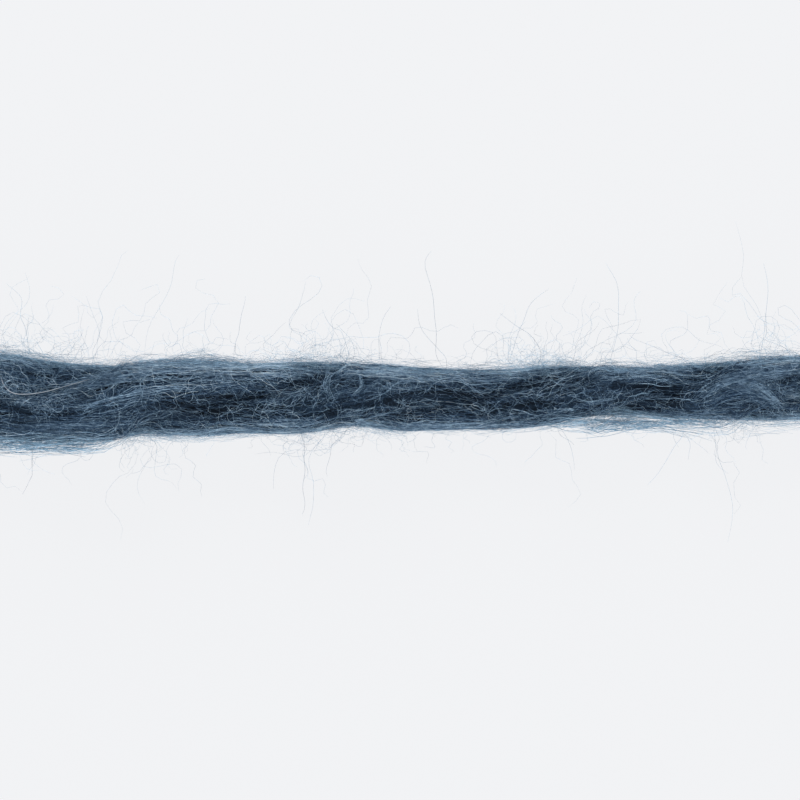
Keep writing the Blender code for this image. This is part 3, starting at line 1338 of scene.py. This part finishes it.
@dataclass
class LaidLocks(Layer):
    """Locks and single fibres that lie over the plies."""

    rows: tuple[Lock, ...]
    points: int = 13
    lift_spread: float = 0.05
    tucked_in: float = 0.25
    few: int = 6
    ragged: Span = (0.05, 0.3)
    sway: float = 0.25
    sways: tuple[Triple, ...] = ((0.2, 2.1, 1.0), (0.1, 8.3, 3.0))
    tone_spread: float = 0.10
    radius: Span = (0.009, 0.015)

    def build(self) -> Fibres:
        """Lays the fibres of all the locks.

        Returns:
            The fibres of one piece.
        """
        points = np.concatenate([self._lock(row) for row in self.rows])
        tones = np.repeat([row.tone for row in self.rows], [row.fibres for row in self.rows])
        tone = tones + self.draw.normal(0.0, self.tone_spread, len(points))
        return Fibres(points, self.draw.uniform(*self.radius, len(points)), tone)

    def _lock(self, row: Lock) -> Array:
        """Lays one lock.

        Args:
            row: The lock.

        Returns:
            Its fibres' points.
        """
        draw, one = self.draw, (row.fibres, 1)
        guide = np.array(row.guide).reshape(-1, 2)
        places = np.arange(len(guide), dtype=float)
        room = self.ragged[row.fibres > self.few]
        begin = draw.random(one) * room
        end = 1.0 - draw.random(one) * room
        t = (begin + (end - begin) * np.linspace(0.0, 1.0, self.points)) * (len(guide) - 1)
        x, y = through(places, guide[:, 0], t), through(places, guide[:, 1], t)
        heading = np.arctan2(np.gradient(y, axis=1), np.gradient(x, axis=1))
        aside = draw.normal(0.0, row.width / 2, one)
        phase = draw.uniform(0.0, math.tau, one)
        for widest, waves, turns in self.sways:
            aside = aside + min(row.width, widest) * self.sway * np.sin(waves * t + turns * phase)
        x, y = x - aside * np.sin(heading), y + aside * np.cos(heading)
        lift = row.lift + draw.normal(0.0, self.lift_spread, one)
        lift = lift - self.tucked_in * np.linspace(-1.0, 1.0, self.points) ** 8
        return np.stack((x, y, self.form.top(x, y) + lift), axis=-1)


class CutEnd(Enum):
    """The strand's two cut ends, by the way each one faces along X."""

    LEFT = -1
    RIGHT = 1


@dataclass
class CutEnds(Layer):
    """Fibre tips that stand out of the two cuts, as a soft brush."""

    fibres: int = 1100
    points: int = 3
    rooted: float = 0.8
    standing: Span = (0.1, 1.0)
    edge: float = 0.97
    turned: float = 0.12
    splay: float = 0.12
    radius: Span = (0.028, 0.046)
    # Paler than the plies: painted light that makes up for the shade among the tips at the cut.
    tone: Span = (0.55, 1.10)

    def build(self) -> Fibres:
        """Lays the tips of both ends."""
        return self.evenly(np.concatenate([self._brush(end) for end in CutEnd]), self.radius, self.tone)

    def _brush(self, end: CutEnd) -> Array:
        """Lays the tips of one end.

        Args:
            end: Which end.

        Returns:
            Its fibres' points.
        """
        draw, one = self.draw, (self.fibres, 1)
        t = np.linspace(0.0, 1.0, self.points)
        low, high = self.standing
        out = low + (high - low) * draw.random(one) ** 3
        x = end.value * (self.form.length / 2 - self.rooted + (self.rooted + out) * t)
        angle = draw.uniform(0.0, math.tau, one) + draw.normal(0.0, self.turned, one) * t
        share = np.sqrt(draw.random(one)) * self.edge
        share = share * (1.0 + draw.normal(self.splay / 2, self.splay, one) * t**2)
        radius = self.form.raw_radius(x, angle) * share
        return self.form.place(x, radius * np.cos(angle), radius * np.sin(angle))


# ---- the whole


def halo_tangles(way: float, *rows: Triple) -> tuple[Tangle, ...]:
    """The tangles of one edge, from their stations, lengths and shares."""
    return tuple(Tangle(station, way, along, 14.0, share) for station, along, share in rows)


WEB_TANGLES = tuple(Tangle(*row) for row in (
    (-30.0, 70.0, 2.6, 10.0, 0.05), (-21.5, 96.0, 2.4, 14.0, 0.04), (-14.0, 112.0, 3.0, 16.0, 0.06),
    (-6.5, 80.0, 1.8, 20.0, 0.09), (-2.5, 74.0, 1.8, 18.0, 0.06), (1.5, 66.0, 1.8, 12.0, 0.04),
    (9.5, 90.0, 2.0, 26.0, 0.09), (15.0, 86.0, 2.8, 24.0, 0.07), (31.5, 80.0, 1.8, 18.0, 0.08),
))
FELT_TANGLES = (Tangle(-30.5, 76.0, 3.2, 18.0, 0.14), Tangle(31.0, 80.0, 2.2, 18.0, 0.06))
UPPER_TANGLES = halo_tangles(
    4.0,
    (-31.0, 1.8, 0.05), (-27.2, 1.3, 0.06), (-20.0, 2.0, 0.04), (-15.0, 2.0, 0.02), (-7.6, 2.1, 0.16),
    (11.0, 1.6, 0.25), (16.5, 2.2, 0.07), (21.0, 1.5, 0.03), (30.6, 1.5, 0.05),
)
LOWER_TANGLES = halo_tangles(-4.0, (-20.5, 1.6, 0.12), (-4.5, 2.0, 0.18), (26.0, 3.0, 0.14))

WISPS = tuple(Wisp(*row) for row in (
    (-37.0, 37.0, Edge.UPPER, 8.0, 1.1, 1850, 0.6), (-37.0, 37.0, Edge.LOWER, -6.0, 0.85, 1150, 0.65),
    (-38.0, -20.9, Edge.LOWER, 0.0, 1.56, 190, 1.4, 9.0, 2.4),
    (-38.0, -26.0, Edge.UPPER, 0.0, 1.35, 120, 1.1, 4.0, 1.4),
    (-21.0, -10.0, Edge.UPPER, 0.0, 1.3, 60, 1.3), (-22.0, -10.0, Edge.LOWER, 0.0, 0.95, 110, 1.2),
    (10.6, 28.5, Edge.LOWER, 0.0, 2.1, 170, 1.2, 7.0, 2.1),
    (11.6, 24.4, Edge.LOWER, 0.0, 1.8, 66, 3.4, 9.0, 2.0), (14.0, 27.5, Edge.UPPER, 0.0, 1.6, 60, 1.3),
    (23.0, 34.0, Edge.UPPER, 0.0, 1.4, 50, 1.3), (24.0, 38.0, Edge.LOWER, 0.0, 1.6, 90, 1.2),
))

LOCKS = tuple(Lock(*row) for row in (
    ((23.2, -0.9, 25.0, 0.5, 27.0, 1.3, 29.6, 1.9, 32.0, 2.1, 35.0, 2.3), 0.55, 80, 0.66),
    ((26.0, 1.0, 27.2, 1.0, 28.4, 0.7, 29.4, 0.0, 30.2, -0.8, 30.9, -1.5), 0.5, 70, 0.68, 0.14),
    ((24.0, -1.2, 25.6, -0.2, 27.4, 0.2, 29.0, -0.5, 30.2, -1.5), 0.55, 80, 0.52),
    ((-5.4, -2.8, -4.0, -2.3, -3.2, -2.2, -2.0, -2.5, 0.4, -2.8), 0.3, 50, 0.78),
    ((-27.4, 0.0, -26.0, 0.7, -22.4, 1.4, -19.2, 2.1, -15.0, 2.3), 0.6, 70, 0.62),
    ((-34.0, -3.0, -29.0, -2.7, -24.0, -2.6, -19.0, -2.5), 0.6, 60, 0.52),
    ((12.8, 0.1, 13.8, -0.3, 14.8, -0.7, 16.2, -0.6, 17.4, -0.3, 18.0, 0.8), 0.16, 2, 0.88),
    ((18.0, 0.8, 20.0, 0.8, 20.8, 0.6, 22.6, 0.6), 0.06, 3, 0.88),
    ((9.0, 0.6, 10.4, 0.8, 12.0, 1.1, 12.8, 0.7, 14.0, 0.7, 15.2, 1.1), 0.08, 4, 0.85),
    ((12.5, -1.7, 13.5, -1.3, 14.1, -1.5, 14.9, -1.6), 0.22, 9, 0.92, 0.16),
    ((8.6, -1.2, 9.6, -1.3, 10.8, -1.7, 11.4, -1.6), 0.06, 3, 0.92),
    ((6.2, 0.0, 7.5, -0.6, 8.0, -1.3, 8.2, -2.1), 0.2, 2, 0.74),
    ((4.4, 1.7, 5.0, 1.0, 6.0, 0.3, 6.9, -0.3), 0.25, 3, 0.74),
    ((-14.6, 1.9, -13.8, 1.0, -13.1, -0.1, -13.0, -0.9), 0.15, 2, 0.84),
    ((-5.5, 2.1, -5.9, 0.7, -5.4, -0.6), 0.16, 7, 0.82),
    ((-3.2, 1.7, -3.1, 0.6, -3.8, -0.2), 0.12, 5, 0.85),
    ((-2.4, -0.4, -1.2, 0.1, -0.2, 0.9, 1.4, 1.1), 0.1, 4, 0.8),
    ((-9.5, 0.9, -8.6, 1.5, -7.4, 1.6, -6.6, 0.9), 0.1, 5, 0.78),
))

GUARD_HAIR = Lock((-31.9, 1.7, -31.5, 0.6, -30.6, 0.0, -28.6, 0.1, -26.0, 0.8, -23.6, 1.5), 0.0, 1, 0.5, 0.2)


@dataclass
class KnittingYarn:
    """The strand with all its fibres."""

    form: StrandForm = field(default_factory=StrandForm)
    skin: FibreSkin = field(default_factory=FibreSkin)
    wool: FibreFinish = FibreFinish("wool_fibre")
    # The loose fibres' finish has a more saturated pale: painted light for the floor's light coming through
    # thin fibres.
    painted_backlit_wool: FibreFinish = FibreFinish("loose_fibre_painted_backlight", pale=(0.262, 0.417, 0.548))

    def build(self) -> None:
        core_shape = StrandCore(self.form)
        core = dress(core_shape.build(), ShadedCoreFinish().material())
        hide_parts(NODE)
        loose = self.pieces(self.laid_layers(), self.wool.material())
        loose += self.pieces(self.loose_layers(), self.painted_backlit_wool.material())
        hair = LaidLocks(self.form, 59, (GUARD_HAIR,), points=40, radius=(0.038, 0.038))
        loose += self.pieces({"guard_hair": hair}, GuardHairFinish().material())
        path = core_shape.centre_line()

    def pieces(self, layers: dict[str, Layer], material: bpy.types.Material) -> list[bpy.types.Object]:
        """Builds and dresses fibre layers, each under the name of its piece."""
        return [dress(layer.build().piece(name, self.skin), material) for name, layer in layers.items()]

    def laid_layers(self) -> dict[str, Layer]:
        """Sizes the fibre layers that lie on the strand.

        Returns:
            The layers, by the names of their pieces.
        """
        form = self.form
        loose_plies = PlyFibres(
            form, 13, 1140, 3, 10, length=(3.0, 6.5), radius=(0.010, 0.017), sunk=(-0.10, 0.06),
            lift=(-0.10, 0.14), drift=0.35, wave=0.07, crinkle=0.028, tone=(0.30, 0.84),
        )
        felt = CurlyFibres(
            form, 22, 3000, FELT_TANGLES, 8, length=(0.7, 2.8), radius=(0.007, 0.012), lift=(0.0, 0.12),
            tone=(0.30, 1.00), curl=(0.6, 0.5, 0.3), shaded=0.9,
        )
        return {
            "ply_fibres": PlyFibres(form, 11, 265, crinkle=0.008),
            "loose_ply_fibres": loose_plies,
            "felt": felt,
            "crossing_web": CurlyFibres(form, 21, 1250, WEB_TANGLES),
            "laid_locks": LaidLocks(form, 59, LOCKS),
        }

    def loose_layers(self) -> dict[str, Layer]:
        """Sizes the fibre layers that stand out from the strand.

        Returns:
            The layers, by the names of their pieces.
        """
        form = self.form
        return {
            "upper_halo": Halo(form, 31, 860, Edge.UPPER, UPPER_TANGLES, 3.3),
            "lower_halo": Halo(form, 32, 560, Edge.LOWER, LOWER_TANGLES, 2.0, 13, turned=-8.0),
            "edge_wisps": Wisps(form, 71, WISPS),
            "long_strays": LongStrays(form, 83),
            "cut_ends": CutEnds(form, 97),
        }


# ---- the studio


@dataclass
class Studio:
    """The camera over the strand, the floor under it and soft light from all round."""

    view_width: float = 0.064
    height: float = 0.60
    aim: Triple = (0.0, -0.0005, 0.0025)
    sensor: float = 36.0
    nearest: float = 0.01
    floor_size: float = 1.6
    floor_depth: float = 0.00002
    lamp_size: float = 0.25
    sky: Triple = (0.90, 0.93, 0.97)
    sky_strength: float = 0.9

    def build(self) -> None:
        """Sets up the camera, floor, light and surroundings."""
        self.camera()
        self.floor()
        self.lamp("key", (-0.06, 0.50, 0.22), 4.0)
        self.lamp("fill", (0.08, -0.50, 0.20), 2.4)
        self.surroundings()

    def camera(self) -> None:
        """A long lens that looks straight down, with the strand across the picture."""
        lens = bpy.data.cameras.new("camera")
        lens.sensor_width = self.sensor
        lens.lens = self.sensor * (self.height - self.aim[2]) / self.view_width
        lens.clip_start = self.nearest
        holder = stand("camera", lens)
        holder.location = (*self.aim[:2], self.height)
        bpy.context.scene.camera = holder

    def floor(self) -> None:
        """A pale plane just under the strand."""
        shape = bmesh.new()
        bmesh.ops.create_grid(shape, x_segments=1, y_segments=1, size=self.floor_size / 2)
        bmesh.ops.translate(shape, verts=shape.verts, vec=(0.0, 0.0, -self.floor_depth))
        plane = cast("floor", shape)
        plane.data.materials.append(FloorFinish().material())

    def lamp(self, name: str, place: Triple, watts: float) -> None:
        """Adds a large soft lamp that faces the strand.

        Args:
            name: Its name.
            place: Where it hangs.
            watts: Its power.
        """
        light = bpy.data.lights.new(name, "AREA")
        light.size = self.lamp_size
        light.energy = watts
        holder = stand(name, light)
        holder.location = place
        holder.rotation_euler = Vector(place).to_track_quat("Z", "Y").to_euler()
        holder.visible_camera = False

    def surroundings(self) -> None:
        """An even, pale sky and plain colours."""
        world = bpy.data.worlds.new("pale_room")
        world.use_nodes = True
        fill(world.node_tree.nodes["Background"], {"Color": (*self.sky, 1.0), "Strength": self.sky_strength})
        bpy.context.scene.world = world
        bpy.context.scene.view_settings.view_transform = "Standard"


def main() -> None:
    """Builds the studio and the yarn."""
    logging.basicConfig(level=logging.INFO, format="%(name)s %(message)s")
    Studio().build()
    KnittingYarn().build()


if __name__ == "__main__":
    main()
